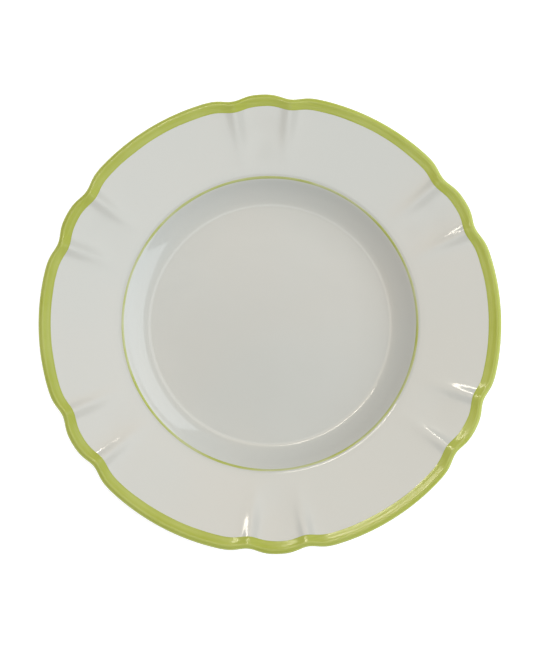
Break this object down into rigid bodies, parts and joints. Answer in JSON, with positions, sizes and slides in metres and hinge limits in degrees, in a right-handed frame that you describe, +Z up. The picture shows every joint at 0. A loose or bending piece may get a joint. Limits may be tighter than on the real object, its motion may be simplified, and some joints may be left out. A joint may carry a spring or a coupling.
{
  "type": "china dinner plate",
  "caption": "Round porcelain dinner plate with a scalloped rim, paired pinched flutes on its flange, a low foot ring, and a hand-painted lime enamel band and line.",
  "frame": {"origin": "on the plate's axis, in the plane that the foot ring stands on", "axes": "+Z up along the plate's axis, +X towards the middle of a wide lobe of the rim, +Y towards the middle of a small lobe between two flutes"},
  "size_m": [0.27, 0.27, 0.0251],
  "materials": {
    "porcelain": "fired porcelain, matt and slightly gritty where the foot is left bare",
    "glaze": "clear glossy glaze over warm white porcelain",
    "lime_enamel": "hand-painted lime green enamel with a soft gloss and brush marks"
  },
  "bodies": {
    "root": {"porcelain_body": "porcelain", "glaze_coat": "glaze", "glaze_inside_foot": "glaze", "enamel_rim_band": "lime_enamel", "enamel_verge_line": "lime_enamel"}
  },
  "joints": []
}
